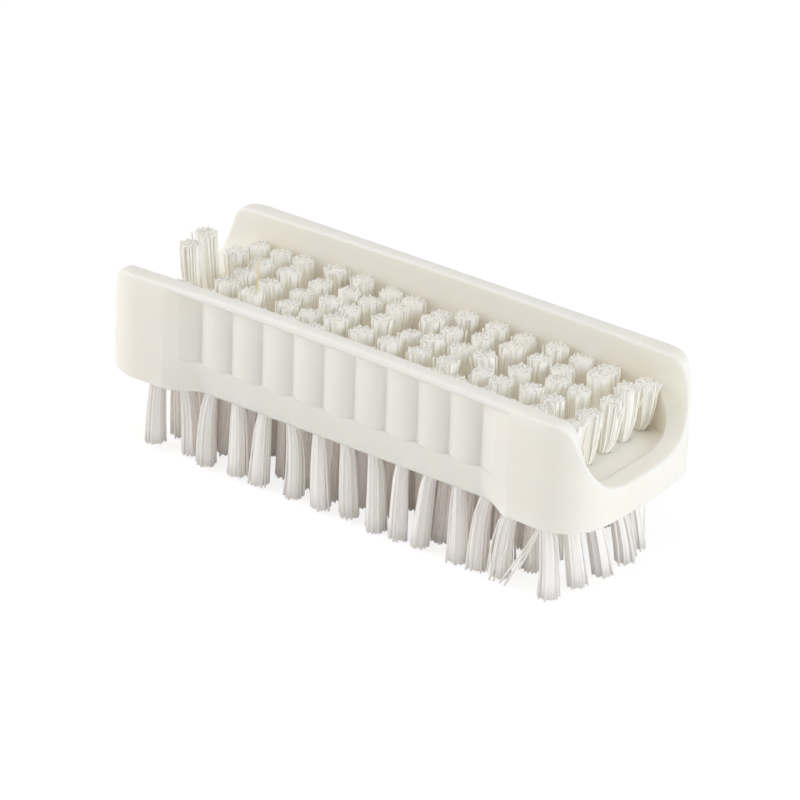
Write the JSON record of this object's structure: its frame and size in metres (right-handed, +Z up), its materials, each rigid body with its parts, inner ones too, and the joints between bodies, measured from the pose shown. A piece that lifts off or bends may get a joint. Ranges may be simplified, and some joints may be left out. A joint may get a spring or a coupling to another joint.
{
  "type": "nail brush",
  "caption": "Double-sided nail brush: a waisted plastic body with reeded grip walls, short bristle tufts in its channel and longer tufts below.",
  "frame": {"origin": "middle of the plane that the long bristle tips stand on", "axes": "+X along the brush, +Y across it, +Z up out of the channel with the short bristles"},
  "size_m": [0.1114, 0.041, 0.038],
  "materials": {
    "body_plastic": "satin moulded warm white polypropylene",
    "bristle": "milky translucent nylon filament",
    "anchor_wire": "drawn flat stainless wire"
  },
  "bodies": {
    "root": {"brush_body": "body_plastic", "top_tufts_row_1": "bristle", "top_tufts_row_2": "bristle", "top_tufts_row_3": "bristle", "top_tufts_row_4": "bristle", "top_tufts_row_5": "bristle", "top_tufts_row_6": "bristle", "top_anchors_row_1": "anchor_wire", "top_anchors_row_2": "anchor_wire", "top_anchors_row_3": "anchor_wire", "top_anchors_row_4": "anchor_wire", "top_anchors_row_5": "anchor_wire", "top_anchors_row_6": "anchor_wire", "bottom_tufts_row_1": "bristle", "bottom_tufts_row_2": "bristle", "bottom_tufts_row_3": "bristle", "bottom_tufts_row_4": "bristle", "bottom_tufts_row_5": "bristle", "bottom_tufts_row_6": "bristle", "bottom_anchors_row_1": "anchor_wire", "bottom_anchors_row_2": "anchor_wire", "bottom_anchors_row_3": "anchor_wire", "bottom_anchors_row_4": "anchor_wire", "bottom_anchors_row_5": "anchor_wire", "bottom_anchors_row_6": "anchor_wire"}
  },
  "joints": []
}
